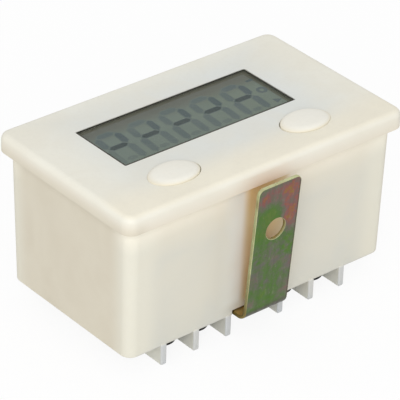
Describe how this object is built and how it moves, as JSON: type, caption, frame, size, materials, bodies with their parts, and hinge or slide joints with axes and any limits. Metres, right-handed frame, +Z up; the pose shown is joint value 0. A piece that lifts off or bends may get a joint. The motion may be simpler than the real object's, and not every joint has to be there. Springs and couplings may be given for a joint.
{
  "type": "electronic punch counter",
  "caption": "Electronic punch counter in a flanged case, with a segment display, push buttons, rear screw terminals between barrier fins and an angled bracket that bolts it to a machine.",
  "frame": {"origin": "under the middle of the outline, at the level of the barrier fins' tips", "axes": "+X along the case's long side, -Y towards the bracket's leg, +Z up out of the display"},
  "size_m": [0.065, 0.0426, 0.0359],
  "materials": {
    "case": "satin",
    "button": "satin",
    "glass": "polished",
    "lcd_cell": "satin",
    "segment": "satin",
    "reflector": "satin",
    "dark_plastic": "satin",
    "elastomer": "matte",
    "board": "satin",
    "resin": "gloss",
    "bright_steel": "satin",
    "aluminium_can": "satin",
    "cell_jacket": "gloss",
    "black_steel": "satin",
    "brass": "satin",
    "yellow_zinc": "satin"
  },
  "bodies": {
    "case": {"front_panel": "case", "rear_housing": "case", "lcd_front_glass": "glass", "lcd_segments": "segment", "lcd_rear_glass": "lcd_cell", "lcd_reflector": "reflector", "lcd_frame": "dark_plastic", "elastomer_strips": "elastomer", "main_board": "board", "controller_chip": "resin", "chip_resistors": "resin", "quartz_can": "bright_steel", "capacitor": "aluminium_can", "board_screws": "bright_steel", "switch_bodies": "dark_plastic", "battery_cradle": "dark_plastic", "battery_cell": "cell_jacket", "negative_contact": "bright_steel", "contact_spring": "bright_steel", "positive_contact": "bright_steel", "terminal_screws": "black_steel", "terminal_washers": "bright_steel", "terminal_posts": "brass", "mounting_bracket": "yellow_zinc", "bracket_screw": "bright_steel", "bracket_washer": "bright_steel", "bracket_insert": "brass"},
    "pause_key": {"pause_button": "button", "pause_plunger": "dark_plastic"},
    "reset_key": {"reset_button": "button", "reset_plunger": "dark_plastic"}
  },
  "joints": [
    {"name": "pause_press", "type": "slide", "parent": "case", "child": "pause_key", "axis": [0, 0, -1], "range_m": [0, 0.0004], "stiffness_N_per_m": 4000},
    {"name": "reset_press", "type": "slide", "parent": "case", "child": "reset_key", "axis": [0, 0, -1], "range_m": [0, 0.0004], "stiffness_N_per_m": 4000}
  ]
}
